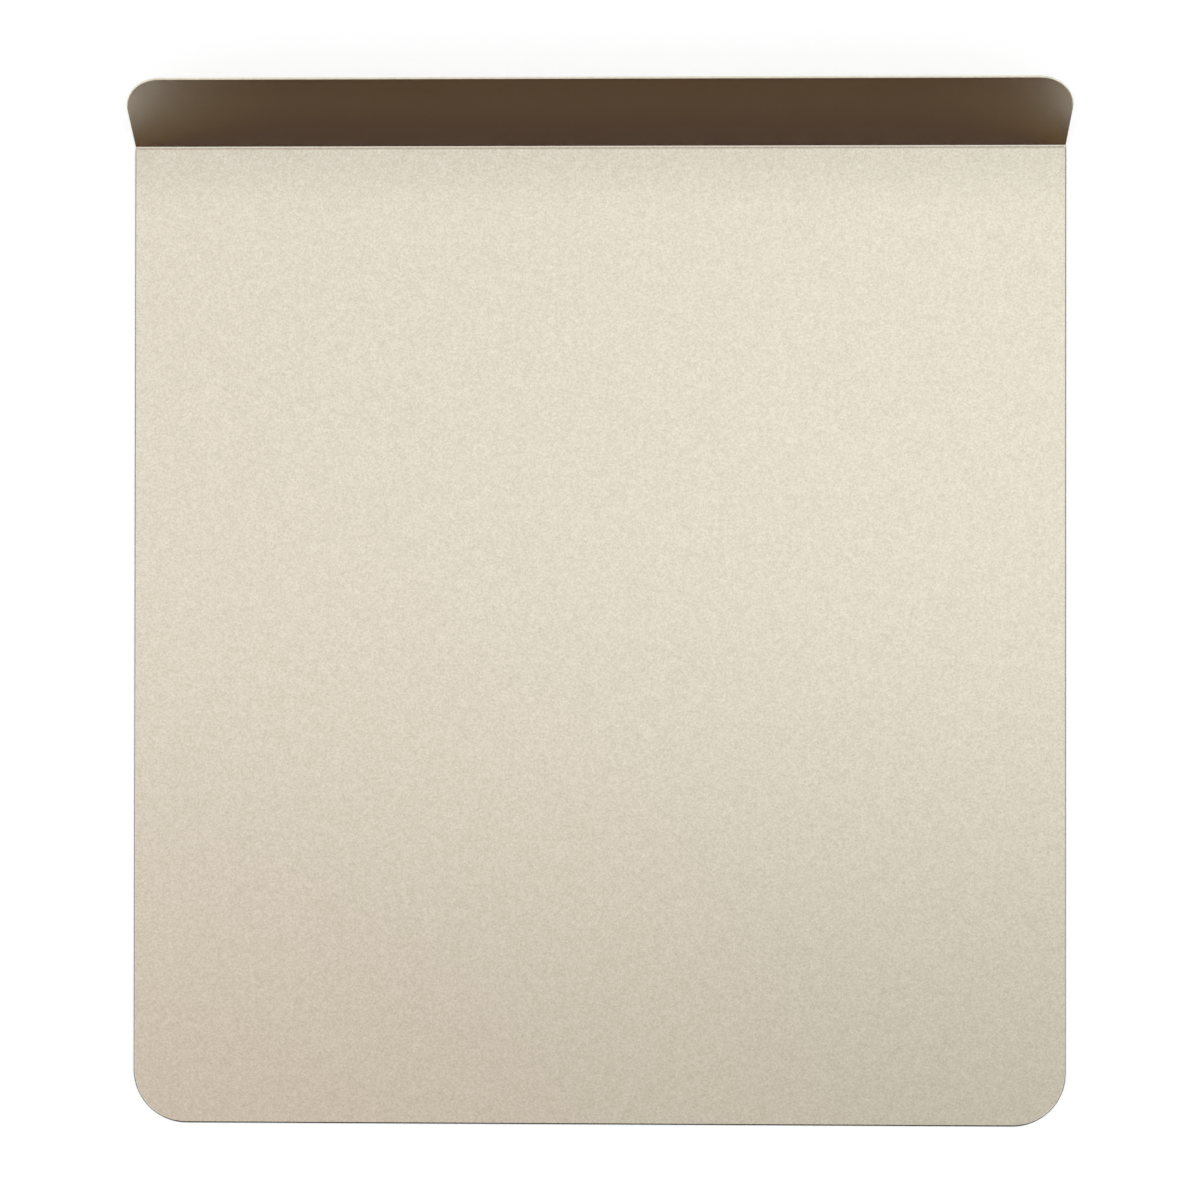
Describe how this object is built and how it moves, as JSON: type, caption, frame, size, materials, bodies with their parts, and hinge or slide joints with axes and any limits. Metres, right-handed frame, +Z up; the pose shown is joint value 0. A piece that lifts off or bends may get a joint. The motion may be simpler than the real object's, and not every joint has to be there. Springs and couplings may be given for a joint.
{
  "type": "cookie sheet",
  "caption": "Flat rimless baking sheet with rounded corners and one long edge folded up as a grip, coated on both faces with pale champagne non-stick.",
  "frame": {"origin": "middle of the footprint, on the surface that the sheet rests on", "axes": "+X across the sheet, +Y from the open front edge back to the folded grip, +Z up out of the baking face"},
  "size_m": [0.3556, 0.3942, 0.0269],
  "materials": {
    "aluminised_steel": "satin",
    "champagne_nonstick": "satin"
  },
  "bodies": {
    "root": {"formed_sheet": "aluminised_steel", "baking_face_coat": "champagne_nonstick", "underside_coat": "champagne_nonstick"}
  },
  "joints": []
}
